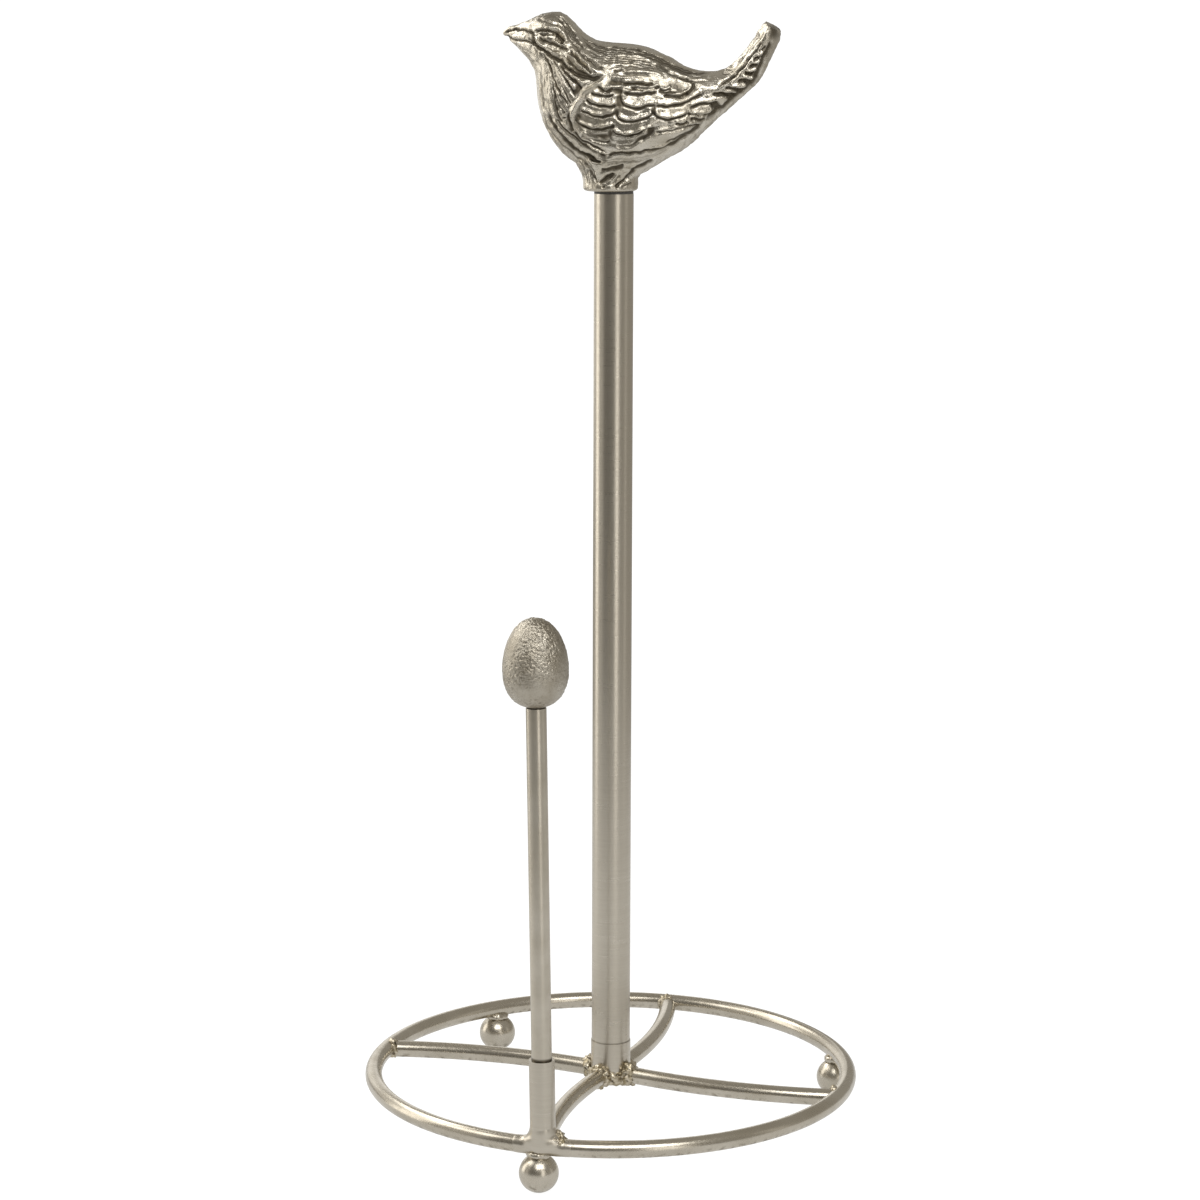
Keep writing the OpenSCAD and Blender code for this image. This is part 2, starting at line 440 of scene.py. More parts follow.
# Stations along the bird in millimetres, from beak to tail, above the neck's lower face.
# Each is [top x, top z, bottom x, bottom z, half width]; the section is an ellipse.
BIRD_STATIONS = [
    [-36.9, 49.4, -36.7, 48.6, 0.5],
    [-34.6, 51.3, -34.8, 47.1, 1.8],
    [-31.2, 52.2, -32, 45, 3.6],
    [-27.4, 53.7, -29.4, 42.4, 6.2],
    [-22.2, 55.7, -27.2, 39.8, 8.3],
    [-17.4, 55.85, -25.8, 37.4, 9.4],
    [-13, 52.5, -25.1, 34.3, 10.2],
    [-9.4, 49.1, -24.6, 30.4, 11.6],
    [-5.4, 47.1, -23.8, 24.9, 13.2],
    [-1, 46.4, -21.3, 18.2, 14.4],
    [4, 46.1, -15, 10.4, 15.2],
    [9, 45.5, -4.6, 5.2, 15.5],
    [13.6, 44.2, 7.4, 4.9, 15.2],
    [18, 42.1, 16.9, 10.1, 14],
    [23, 39.4, 23.9, 14.1, 11.8],
    [28, 37.9, 30.9, 20.6, 9],
    [33, 37.8, 37.5, 26.4, 7.2],
    [37.1, 39.5, 42.9, 31, 6.4],
    [41, 43.1, 47.1, 35.4, 6.2],
    [44.3, 47.3, 50.1, 41.2, 6.2],
    [47.3, 51.4, 52.7, 46.8, 6.2],
    [49, 53.3, 53.4, 50.2, 5.4],
]
NECK_X = -1.2
# The cast neck's outline: [radius, height]
NECK_PROFILE = [
    [7.4, 0], [8.2, 0.15], [8.65, 0.6], [8.8, 1.3], [8.8, 4.6],
    [9.1, 5.4], [9.8, 6.6], [10.6, 8], [11.2, 10], [8, 12],
]
# The bore that takes the stud
BORE_R = 3.35
BORE_TOP = 7.9
BIRD_VOXEL = 0.35
# How far apart the strokes along its back and underside lie
STROKE_GAP = 1.9
# The tail's tip starts here and is left crisp
TIP_X = 44

# The relief is drawn on a plan, the bird's middle plane as an eye beside it sees it: a point of the skin
# takes its relief from where the line of sight through it meets that plane, and both flanks are alike.
# The eye stands at [x, distance from the plane, z] in millimetres, with z above the neck's lower face.
PLAN_EYE = [280, 1017, 57]

# The plan's lines are rows of [x, z] in millimetres.
# Grooves: (half width, depth, points)
GROOVES = [
    # beak
    (0.4, 0.8, [[-36.2, 49.2], [-34.6, 50.1], [-32.3, 50.5], [-30.1, 50.4], [-28.4, 50], [-26.5, 49.8]]),
    (0.4, 0.8, [[-36, 48.7], [-34.6, 47.5], [-32.3, 46.9], [-30.1, 46.8], [-28.2, 46.4], [-26.6, 45.9]]),
    (0.8, 0.7, [[-27.4, 50], [-27.1, 48.4], [-26.9, 46.8], [-26, 45.4]]),
    (0.25, 0.3, [[-34.4, 48.8], [-32, 49.1], [-29.4, 48.9]]),
    # brow and crown
    (0.3, 0.3, [[-25.5, 53.4], [-23, 53.3], [-20.5, 52.3], [-18.6, 51.9], [-16.8, 50.8]]),
    (0.25, 0.2, [[-22, 55], [-19.6, 54.4], [-17.6, 53.2], [-15.8, 51.6]]),
    # eye
    (0.4, 0.8, [[-26.6, 50.1], [-24.6, 50.2], [-22, 50.1], [-19.8, 49.6], [-18.3, 49]]),
    (0.7, 1.1, [[-19.2, 49.1], [-18.1, 48.5], [-17.3, 47.5], [-16.6, 46.6]]),
    (0.3, 0.5, [[-25.2, 48.9], [-23.4, 49], [-21.4, 49], [-19.8, 48.8]]),
    (0.35, 0.6, [[-25, 48.2], [-23.6, 47], [-21.3, 46.4], [-19.1, 45.6], [-17, 44.7], [-15, 44.2]]),
    # cheek
    (0.55, 0.9,
     [[-26.4, 48.2], [-26.1, 46.4], [-24.8, 44.6], [-22.7, 43.2], [-20.6, 42.1], [-18.6, 41.1],
      [-17.2, 40], [-15.4, 38.7], [-13.5, 37.5], [-11.8, 36.5], [-9.8, 35.7], [-7.6, 35.4], [-5.4, 35.8],
      [-3, 36.1]]),
    (0.4, 0.7, [[-15, 44.2], [-13.4, 42.7], [-11.8, 41], [-10.2, 39.2], [-8.6, 37.7], [-6.9, 36.7]]),
    (0.4, 0.6, [[-16.2, 41.9], [-14.7, 40.6], [-13.2, 38.9], [-11.7, 37.6], [-10, 36.8], [-8, 36.3]]),
    # throat and breast
    (0.4, 0.8,
     [[-24.2, 43.6], [-22.8, 41.5], [-21.7, 39.4], [-21, 37.3], [-20.6, 35.2], [-20.1, 33.1], [-19.9, 31],
      [-19.9, 28.4], [-19.6, 26.3], [-19, 24.2], [-17.7, 22.2], [-16.2, 20.9]]),
    (0.35, 0.75,
     [[-22.8, 42.6], [-21.2, 40], [-19.9, 37.6], [-18.8, 35.2], [-17.6, 32.8], [-16.4, 30.5],
      [-15.2, 28.4], [-14, 26.6]]),
    (0.35, 0.7,
     [[-20.9, 41.8], [-19.2, 39.4], [-17.8, 37], [-16.4, 35], [-15.2, 33.2], [-14.1, 31.6], [-13, 30.2]]),
    (0.4, 0.75, [[-18.2, 40.2], [-16.6, 37.9], [-15, 36], [-13, 34.2], [-11.4, 32.8], [-10.4, 31.9]]),
    (0.3, 0.6, [[-21.4, 38.8], [-20, 35.6], [-18.8, 32.8], [-17.6, 30.2], [-16.2, 27.9], [-15.2, 26.4]]),
    (0.3, 0.6, [[-19.7, 34.6], [-18.8, 31.4], [-17.7, 29], [-16.6, 27], [-15.8, 25.6]]),
    (0.3, 0.6, [[-19.4, 30.2], [-18.6, 27.6], [-17.4, 25.4], [-16.2, 24]]),
    (0.35, 0.65, [[-19.2, 27], [-18.5, 24.9], [-17.2, 23.3], [-15.8, 22.4]]),
    (0.25, 0.5, [[-14.6, 36], [-13.2, 34.6], [-12.2, 33.2], [-11.4, 31.6]]),
    (0.25, 0.5, [[-16, 34.2], [-14.6, 32.2], [-13.4, 30.4], [-12.8, 29]]),
    (0.3, 0.3, [[-24.9, 38], [-24.4, 35], [-24.2, 32], [-23.9, 29.4], [-23.4, 27], [-22.6, 24.4]]),
    # under the wing's upper edge
    (0.4, 0.5, [[-0.5, 37.6], [1.5, 37.9], [3.6, 37.6]]),
    (0.3, 0.35, [[-2, 38.4], [2, 38.9], [6, 39.1], [10, 38.8], [13.6, 38.1]]),
    (0.35, 0.35, [[2, 36.1], [5, 36.5], [9, 36.5], [11.6, 36.2]]),
    # breast to belly sweeps
    (0.5, 0.75, [[-15.4, 24.4], [-14.8, 22], [-14.4, 20], [-13.4, 18.4]]),
    (0.4, 0.75,
     [[-19.8, 22.9], [-18, 20.9], [-16.1, 19], [-14, 17.4], [-12, 15.9], [-10.4, 14.5], [-8.6, 13.6],
      [-6.4, 12.4], [-4, 11.3], [-2, 10.8]]),
    (0.4, 0.6, [[-13.6, 19], [-11.8, 16.9], [-9.6, 15.2], [-7.4, 14.1], [-5, 13.2], [-2.6, 12.4]]),
    (0.45, 0.6,
     [[-22.6, 25.6], [-21.2, 22.4], [-19.7, 20], [-17.7, 17.4], [-15.3, 15], [-12.6, 12.8], [-9.8, 11],
      [-7.3, 9.7], [-4.8, 8.8], [-3.6, 8.8]]),
    (0.3, 0.35,
     [[-23.4, 23.4], [-21.6, 19.4], [-19, 16.2], [-16, 13.4], [-12.5, 10.8], [-10.1, 8.9], [-7.9, 7],
      [-6.6, 4.6]]),
    (0.55, 0.6, [[-4.6, 6.2], [-1.6, 6.6], [1, 7.2], [3.4, 8]]),
    (0.25, 0.3, [[-3, 9], [0, 9.1], [3, 9], [6.4, 9.1], [10.2, 9.6]]),
    (0.5, 0.75, [[-11.4, 12.3], [-8.8, 10.8], [-6.4, 9.6], [-4.2, 8.8]]),
    # pedestal fan
    (0.5, 0.8,
     [[13.4, 9.9], [11.3, 9.2], [9.1, 8.1], [6.9, 6.9], [5.3, 5.5], [3.9, 4], [2, 2.6], [-0.6, 0.8]]),
    (0.6, 0.8, [[-5, 2.2], [-3.5, 3.2], [-1.8, 4.2], [0.4, 5.6]]),
    (0.5, 0.7, [[-4, 0.8], [-2.4, 1.5], [-0.8, 2.5], [0.8, 3.8], [2.2, 5]]),
    (0.6, 0.8, [[0.6, 0.9], [2.2, 1.9], [4, 3.2], [5.6, 5]]),
    (0.35, 0.4, [[-8.8, 6.6], [-7.6, 5.2], [-6.4, 3.8], [-5.4, 2]]),
    (0.35, 0.4, [[2.6, 0.8], [4.2, 1.8], [6.2, 3.2]]),
    # tail shaft
    (0.5, 0.9,
     [[33.6, 33], [35.8, 34.6], [38.2, 36.1], [39.8, 37.3], [41.4, 39], [42.9, 41], [44.4, 42.8],
      [45.6, 44.2], [46.7, 45.7], [47.7, 47.2]]),
    # tail barbs
    (0.6, 1, [[31.8, 31], [34.4, 30.4], [37.2, 30], [39.8, 30.4]]),
    (0.55, 0.9, [[36, 32.4], [38, 32.2], [40.4, 31.9], [42.4, 32.4]]),
    (0.6, 0.95, [[40, 34.8], [41.8, 34.7], [43.6, 34.8], [45, 35.2]]),
    (0.55, 0.95, [[42.4, 37.1], [44, 37.2], [46, 37.4]]),
    (0.5, 0.9, [[43.4, 39.4], [44.9, 39.6], [46.8, 40]]),
    (0.5, 0.9, [[44.9, 41.4], [46.2, 41.9], [47.8, 42.9]]),
    (0.4, 0.6, [[46.4, 43.6], [47.8, 44.4], [49, 45.6]]),
    # tail's dark margin above the smooth underside
    (0.65, 0.9,
     [[29.2, 22], [31.4, 23.7], [33.9, 25.6], [36.3, 27.6], [38.8, 29.6], [41.3, 31.6], [43.6, 33.6],
      [45.4, 35.4], [46.5, 37.4], [47.3, 39.6], [48.2, 41.6], [49.2, 43.6], [50.3, 45.8], [51.2, 48]]),
    (0.5, 0.55, [[16, 14.4], [19.9, 16.6], [22.6, 17.7], [24.8, 18.8], [27, 20.2], [29.2, 22]]),
    # fine strokes on the tail's upper band
    (0.22, 0.3, [[34.6, 37], [36.6, 37], [38.4, 37.8], [40, 39.4]]),
    (0.22, 0.3, [[36.6, 38.4], [38.6, 38.8], [40.4, 40.4], [42, 42.6]]),
    (0.22, 0.3, [[39.6, 40.6], [41.6, 42], [43.2, 44.2], [44.6, 46.2]]),
    (0.22, 0.3, [[42.4, 43.6], [44.2, 45.6], [45.8, 48], [47, 49.6]]),
    (0.22, 0.3, [[43.4, 43.2], [45, 45.2], [46.8, 47.8], [48.4, 50.2]]),
    (0.22, 0.3, [[45, 47.6], [46.6, 49.8], [48, 51.6]]),
    # the wing's lowest line, from its front to the tail
    (0.45, 0.7,
     [[-2.4, 10.9], [-1.2, 11.2], [0, 11.8], [2.5, 11.9], [5.3, 11.9], [8.3, 12.1], [11.3, 12.8],
      [15.1, 13.6], [17.9, 14.5], [20.3, 15.6], [23, 17.2], [25, 18.3]]),
]

# Sheets of fine strands: (count, half width, depth, one edge's points, the other edge's points)
SHEETS = [
    # front of the neck and breast
    (3, 0.3, 0.11,
     [[-27.4, 43.6], [-25.4, 39], [-24.9, 34], [-24.7, 29], [-23.9, 24.5], [-21.8, 19.8], [-18, 15.2],
      [-14, 11.2], [-10.4, 7.6]],
     [[-24, 43.4], [-21.9, 39.4], [-20.9, 35], [-20.5, 30], [-20.2, 25.5], [-18.8, 22], [-16, 18.3],
      [-12.5, 15], [-8.4, 12.4]]),
    # back
    (8, 0.24, 0.42,
     [[-12.5, 50.8], [-9, 47.7], [-4, 46], [2, 45.6], [8, 45], [13, 43.4], [18, 40.8], [23, 38.8],
      [28, 37.6], [33, 37.6]],
     [[-8.9, 42], [-5, 40.4], [-1, 39.6], [4, 39.5], [9, 39], [13, 38.2], [16.4, 37], [20, 35.4],
      [24, 34.2], [30, 33.8]]),
    # nape
    (5, 0.26, 0.4,
     [[-19, 55.6], [-15.6, 53.6], [-13, 50.6], [-11.4, 47.6], [-9, 44.4]],
     [[-19, 52.6], [-16.6, 50.4], [-15.2, 47.4], [-13.6, 45.6], [-10.6, 42.4]]),
    # side of the neck
    (3, 0.25, 0.4,
     [[-13.8, 45.6], [-11.4, 43.2], [-9, 40.9], [-6.6, 38.9], [-4, 37.6]],
     [[-9.4, 42.8], [-7.6, 41.4], [-5.8, 40.2], [-4, 39], [-2, 38]]),
    # belly
    (3, 0.26, 0.2,
     [[-4, 10.2], [1, 10.6], [7, 11], [13, 12.4], [19, 15]],
     [[-3, 7.6], [2, 8.2], [8, 8.8], [13, 10], [18, 12.4]]),
    # left of the pedestal
    (4, 0.3, 0.3,
     [[-13, 9.8], [-10.9, 7], [-9.9, 4], [-9.6, 1.6]],
     [[-8.4, 10.4], [-6.8, 7.4], [-5.6, 4.2], [-5, 1.6]]),
]

# Feathers: (rise, lip, points); each rises over its lip towards its lower edge, which its points
# follow from front to back, and drops to a dark cut below it.
FEATHERS = [
    # front column
    (0.4, 1.1, [[-5.2, 33.4], [-4, 32.4], [-2.8, 31.8], [-1.6, 32.4], [-0.4, 32.8]]),
    (0.4, 0.8, [[-7.6, 31.4], [-5.4, 30.9], [-2.6, 30.4], [-0.4, 30.9]]),
    (0.65, 1.5, [[-9.4, 29.2], [-8, 28.3], [-6, 27.6], [-3.5, 27.1], [-0.9, 26.9], [0.3, 27.6]]),
    (0.65, 1.2, [[-11, 26], [-8.9, 24.8], [-6.4, 24], [-3.6, 23.9], [-1.2, 24.3], [0.1, 25.2]]),
    (0.75, 1.1,
     [[-12.8, 22.8], [-11.4, 21.4], [-9.8, 20.5], [-7.6, 20], [-4.8, 19.9], [-1.5, 20.4], [-0.2, 21.4]]),
    (0.4, 1.2, [[-11, 18.3], [-8.4, 17.2], [-5.7, 16.2], [-3.4, 15.8], [-1.2, 16.2]]),
    # middle columns
    (0.5, 1, [[2.6, 34.2], [5, 34.3], [8.5, 34.4], [11, 34.2], [13, 34.4]]),
    (0.4, 0.8, [[5.2, 33], [8.5, 32.6], [11.6, 32.7], [15, 33.3]]),
    (0.6, 1.2, [[2.9, 31.3], [5.4, 31], [8.5, 31.1], [11.3, 31.3], [13.8, 31.9]]),
    (0.7, 1.7,
     [[2.6, 28.8], [3.4, 27.6], [4.9, 26.9], [6.9, 26.5], [9.4, 26.8], [11.8, 27.4], [13.4, 27.9]]),
    (0.75, 1.3, [[1.4, 24.4], [2.3, 22.9], [4.7, 22.2], [7.2, 22.5], [9.1, 23.2], [11.3, 24], [12.9, 25]]),
    (0.8, 1.2, [[-0.2, 20.2], [1.2, 18.6], [3.3, 18], [6.1, 18.2], [8.3, 19], [10.7, 19.8], [13.2, 20.4]]),
    (0.4, 1.2, [[0.6, 14.2], [2.8, 14.6], [5.3, 15], [7.7, 16], [9.6, 17.2], [11.6, 18.6], [13.4, 19.8]]),
    # rear columns
    (0.4, 0.9, [[14.6, 32.4], [16.4, 32.2], [18.6, 32.5]]),
    (0.5, 1, [[16.4, 30.9], [17.6, 30.7], [20.3, 30.5], [22.2, 30.7], [23.8, 31.6]]),
    (0.65, 1.7,
     [[13.4, 27.6], [15, 27.2], [17, 27.2], [19.4, 27.5], [21.7, 27.8], [23.9, 28.9], [26.4, 30.2],
      [29, 31.2]]),
    (0.8, 1.4,
     [[12.9, 26], [13.4, 24.6], [14.8, 23.6], [16.8, 23.2], [19, 23.2], [21.4, 24], [23.9, 25.3]]),
    (0.8, 1.4,
     [[13, 18.9], [16.2, 19.2], [19, 19.9], [21.7, 20.6], [24.4, 21.3], [27, 21.7], [29.6, 22.3]]),
    (0.3, 0.7, [[22.6, 31], [24.4, 32.2], [25.2, 33.4], [23.6, 34.6], [21, 35.4]]),
    (0.55, 1, [[24.6, 26.9], [26.5, 27.4], [28.4, 28], [30.6, 28.4], [32.5, 28.5], [34, 28.4]]),
    (0.65, 1.1, [[24, 25.4], [25.4, 24.6], [27.3, 24.6], [29.5, 24.8], [31.2, 25.3], [32.1, 26.4]]),
    (0.5, 0.8, [[25, 23.2], [27.3, 23.3], [29.9, 23.6]]),
    (0.5, 0.9, [[20, 21.8], [22, 21.9], [24, 22.8]]),
]

# Raised lines: (half width, height, points)
RIDGES = [
    # wing's leading edge and upper edge
    (0.6, 0.9,
     [[-2.6, 35.2], [-4.6, 33.9], [-6.4, 32.9], [-8.4, 31.8], [-9.8, 30.6], [-10.9, 29], [-11.8, 27.5],
      [-12.8, 26.2], [-13.9, 24.6], [-14.1, 23.2], [-13.8, 21.8], [-13, 20.4]]),
    (0.6, 0.5, [[-1, 35.7], [3, 35.6], [6, 35.7], [9.4, 35.6], [12.4, 35.2]]),
    (0.5, 0.5, [[0, 37.1], [5, 37.7], [10, 37.5], [14, 36.7], [16, 35.8]]),
    # eye's rim
    (0.45, 0.85,
     [[-23.4, 51.1], [-21.4, 51], [-19.6, 50.8], [-18, 50.1], [-16.7, 48.9], [-15.8, 47.3],
      [-15.3, 45.7]]),
    (0.4, 0.75, [[-20.6, 47], [-19.1, 46.3], [-17.4, 45.7], [-15.5, 45.1]]),
    (0.5, 0.9, [[-25.9, 48.8], [-25.2, 47], [-24.2, 45.6], [-22.8, 44.6]]),
    (0.4, 0.8, [[-23.4, 45], [-21.6, 44], [-19.7, 43.1], [-17.4, 42.4]]),
    # eyeball
    (0.9, 0.6, [[-22.8, 48], [-20.8, 47.9], [-19, 47.3]]),
    # beak's lens
    (0.8, 0.3, [[-34, 48.4], [-32, 48.5], [-29, 48.2]]),
    # cheek and breast strands
    (0.45, 0.75, [[-15, 45], [-13.1, 43.6], [-11.3, 42], [-9.5, 40.2], [-7.6, 38.6], [-5.4, 37.2]]),
    (0.4, 0.7, [[-15.6, 43.2], [-13.8, 41.6], [-12.2, 39.8], [-10.6, 38.2], [-8.8, 37.2]]),
    (0.5, 1, [[-17.4, 41.9], [-16, 40.8], [-14.6, 39.4], [-13.3, 38.2]]),
    (0.42, 0.8, [[-16.8, 38.9], [-15, 37.3], [-13, 35.7], [-11.1, 34.4], [-9.4, 33.2]]),
    (0.25, 0.5, [[-22.4, 42], [-20.8, 39.2], [-19.4, 36.4], [-18.2, 33.9], [-17.1, 31.4], [-15.8, 28.8]]),
    (0.25, 0.5, [[-19.9, 40], [-18.4, 37.4], [-17, 35], [-15.8, 33], [-14.4, 31]]),
    (0.25, 0.5, [[-21.2, 36.6], [-19.6, 32.6], [-18.2, 29.6], [-16.6, 27], [-15.2, 25.4]]),
    (0.25, 0.5, [[-19.4, 28.6], [-18.2, 26.2], [-16.8, 24.4]]),
    (0.25, 0.4, [[-15.2, 35.2], [-13.9, 33.4], [-12.7, 31.8]]),
    (0.3, 0.4, [[-19.1, 25.6], [-18, 23.9], [-16.6, 22.9]]),
    # smooth sweeps under the wing
    (0.9, 0.4,
     [[-12.4, 20], [-9.8, 17.6], [-7.2, 15.6], [-4, 14.2], [-0.6, 13.4], [3, 13.4], [7, 14.2],
      [11, 15.6]]),
    (0.36, 0.75, [[-9.4, 14.5], [-7.4, 13.4], [-4.8, 12.3], [-1.6, 11.6]]),
    (1.2, 0.4, [[12, 16.6], [16, 17.3], [20, 18.2], [24, 19.8]]),
    (0.3, 0.5, [[11, 12.9], [14, 13.9], [17, 14.8], [20, 16.2]]),
    # back strands
    (0.35, 0.4, [[0, 42.9], [4, 42.7], [8, 42], [12, 41], [15, 39.8]]),
    (0.35, 0.4, [[15.6, 40.4], [18.6, 38], [21.4, 36.9], [24, 36], [28, 35.6], [31, 35.2]]),
    # pedestal fan
    (0.5, 0.5, [[-3.4, 0.6], [-1.4, 2.2], [0.8, 4.2], [2.6, 5.8], [5, 7]]),
    (0.4, 0.4, [[1.6, 0.8], [3.2, 2.2], [5.2, 4], [7, 5.8]]),
    # tail shaft and barbs
    (0.5, 0.7,
     [[33, 31.8], [36, 33.3], [38.4, 34.5], [40.5, 36.2], [42.1, 38.2], [43.7, 40.4], [45, 42.2],
      [46.6, 44.6]]),
    (0.6, 0.85, [[37.4, 33.4], [39.6, 33.4], [41.6, 33.5], [43.2, 33.9]]),
    (0.6, 0.85, [[41, 36], [43, 36], [45.2, 36.2]]),
    (0.6, 0.85, [[42.6, 38.2], [44.2, 38.4], [46.2, 38.7]]),
    (0.5, 0.6, [[44.2, 40.5], [45.6, 40.8], [47, 41.5]]),
    (0.5, 0.6, [[45.8, 42.8], [47, 43.4], [48.4, 44.4]]),
    (0.5, 0.5, [[33, 29.4], [35, 29.5], [37.6, 29.3]]),
]

# Patches cut down and darkened: (x, z, half length, half height, turn in degrees, depth, darkness)
HOLLOWS = [
    # throat and breast
    (-16.2, 33.2, 9.5, 2.2, -67, 0.2, 0.22),
    (-12.4, 31.6, 1.3, 1.9, -30, 0.5, 0.9),
    (-14.8, 22.6, 1, 2.4, 10, 0.6, 1),
    (-9.4, 36.2, 3.4, 0.7, -14, 0.3, 0.9),
    # eye
    (-21.4, 47.6, 4.4, 1.8, -18, 0.35, 0.4),
    # between the feathers
    (1.6, 28.6, 1.2, 2.7, 0, 0.8, 0.9),
    (0.8, 24.6, 0.8, 1.4, 10, 0.6, 0.9),
    (0.6, 33.8, 2.8, 0.8, 0, 0.5, 1),
    (1, 31.4, 1.9, 1, 0, 0.5, 0.9),
    (20.2, 33.2, 3.4, 1.3, -12, 0.4, 0.55),
    (18.6, 31, 2.6, 0.5, 0, 0.3, 0.9),
    (12.2, 19.2, 1.9, 0.9, 38, 0.6, 0.9),
    (9, 16.9, 2.6, 0.6, 30, 0.3, 0.7),
    (-4, 17.1, 3.6, 1, -6, 0.4, 0.7),
    (-1.4, 18, 1, 1.4, -25, 0.3, 0.8),
    (-11.8, 22.9, 1.3, 1.4, -20, 0.3, 0.7),
    (13.2, 25.4, 0.6, 1.6, 0, 0.4, 0.9),
    # tail's root
    (33.2, 26.8, 2, 1.4, -40, 0.8, 1),
    (36.6, 30.6, 3.4, 0.6, -4, 0.5, 0.9),
    # pedestal
    (-2.8, 3.2, 2.8, 1, 38, 0.3, 0.45),
]
# Patches painted darker and rougher without relief, a painted shade on spots of the bird: (x, z, half length, half
# height, turn in degrees, darkness)
SHADE_PATCHES = [
    (-31.4, 48.5, 3.8, 1.4, 0, 0.3),
    (-21.5, 54.2, 6, 1.9, 8, 0.32),
    (4, 43.6, 17, 2.6, -5, 0.12),
    (26, 37.2, 7, 1.8, -8, 0.16),
    (-12, 47.5, 5, 2.2, -55, 0.22),
    (51.2, 50, 2.8, 1.7, -70, 0.6),
    (20.6, 33.4, 4.6, 1.5, -8, 0.3),
    (-10, 5.6, 5, 1.6, -70, 0.12),
]
RELIEF_STEPS = 4
# A groove this deep, or deeper, is as dark as any
DARK_DEPTH = 0.6
# A feather's dark cut: how far below its lip it runs, its half width and its depth
CUT_BELOW = 0.55
CUT_WIDTH = 0.46
CUT_DEPTH = 0.6


def near_line(plan, points, reach):
    """Which plan points lie within reach of a line, their distance from it and their share along it.

    The distance is positive above a line drawn towards the tail.
    """
    line = smooth_curve(points, RELIEF_STEPS)
    low, high = line.min(0) - reach, line.max(0) + reach
    picked = np.flatnonzero(np.all((plan > low) & (plan < high), axis=1))
    p = plan[picked]
    best = np.full(len(p), 1e9)
    side = np.zeros(len(p))
    along = np.zeros(len(p))
    for k in range(len(line) - 1):
        a, d = line[k], line[k + 1] - line[k]
        t = np.clip(((p - a) @ d) / (d @ d), 0, 1)
        gap = p - a - t[:, None] * d
        dist = np.hypot(gap[:, 0], gap[:, 1])
        closer = dist < best
        best[closer] = dist[closer]
        side[closer] = (d[0] * gap[:, 1] - d[1] * gap[:, 0])[closer]
        along[closer] = ((k + t) / (len(line) - 1))[closer]
    return picked, np.where(side < 0, -best, best), along


def tapered(along, ends=0.16):
    """1 along a line's middle, falling smoothly to 0 at both ends."""
    t = np.clip(np.minimum(along, 1 - along) / ends, 0, 1)
    return t * t * (3 - 2 * t)


def sheet_lines(sheet):
    """The grooves that fill a sheet: lines drawn evenly between its two edges, with ragged ends."""
    count, width, depth, one, other = sheet
    one, other = np.array(one), np.array(other)
    lines = []
    for k in range(count):
        share = (k + 1) / (count + 1)
        line = one * (1 - share) + other * share
        if k % 3 == 1:
            line = line[1:]
        if k % 3 == 2:
            line = line[:-1]
        lines.append((width, depth, line))
    return lines


def patch(plan, x, z, length, height, turn):
    """A soft ellipse on the plan: 1 in its middle, falling to 0 round its edge."""
    c, s = math.cos(math.radians(turn)), math.sin(math.radians(turn))
    dx, dz = plan[:, 0] - x, plan[:, 1] - z
    return np.exp(-(((dx * c + dz * s) / length) ** 2 + ((dz * c - dx * s) / height) ** 2) ** 1.5)


def bird_relief(plan):
    """How far the relief lifts each plan point, in millimetres, and how dark it is made, from 0 to 1: patina as
    deep as it is cut, and painted shade on the shade patches.
    """
    lift, cut = np.zeros(len(plan)), np.zeros(len(plan))
    # painted shade: these patches are darkened, and made rougher in the material, without any relief
    for x, z, length, height, turn, dark in SHADE_PATCHES:
        cut = np.maximum(cut, dark * patch(plan, x, z, length, height, turn))
    grooves = list(GROOVES)
    for sheet in SHEETS:
        grooves.extend(sheet_lines(sheet))
    for width, depth, points in grooves:
        picked, gap, along = near_line(plan, points, 3 * width)
        shape = np.exp(-(gap / width) ** 2) * tapered(along, 0.1)
        lift[picked] -= depth * shape
        cut[picked] = np.maximum(cut[picked], shape * min(1, depth / DARK_DEPTH))
    for rise, lip, points in FEATHERS:
        picked, gap, along = near_line(plan, points, lip + 1)
        ends = tapered(along, 0.08)
        ramp = np.clip(1 - gap / lip, 0, 1) ** 1.15
        lift[picked] += rise * ends * np.where(gap > 0, ramp, np.exp(-(gap / 0.22) ** 2))
        cut[picked] *= 1 - 0.85 * ends * (gap > 0.1) * (gap < lip)
        groove = np.exp(-((gap + CUT_BELOW) / CUT_WIDTH) ** 2) * ends
        lift[picked] -= CUT_DEPTH * groove
        cut[picked] = np.maximum(cut[picked], groove)
    for x, z, length, height, turn, depth, dark in HOLLOWS:
        shape = patch(plan, x, z, length, height, turn)
        lift -= depth * shape
        cut = np.maximum(cut, dark * shape)
    for width, height, points in RIDGES:
        picked, gap, along = near_line(plan, points, 3 * width)
        shape = np.exp(-(gap / width) ** 2) * tapered(along, 0.14)
        lift[picked] += height * shape
        cut[picked] *= 1 - 0.95 * shape
    return lift, cut


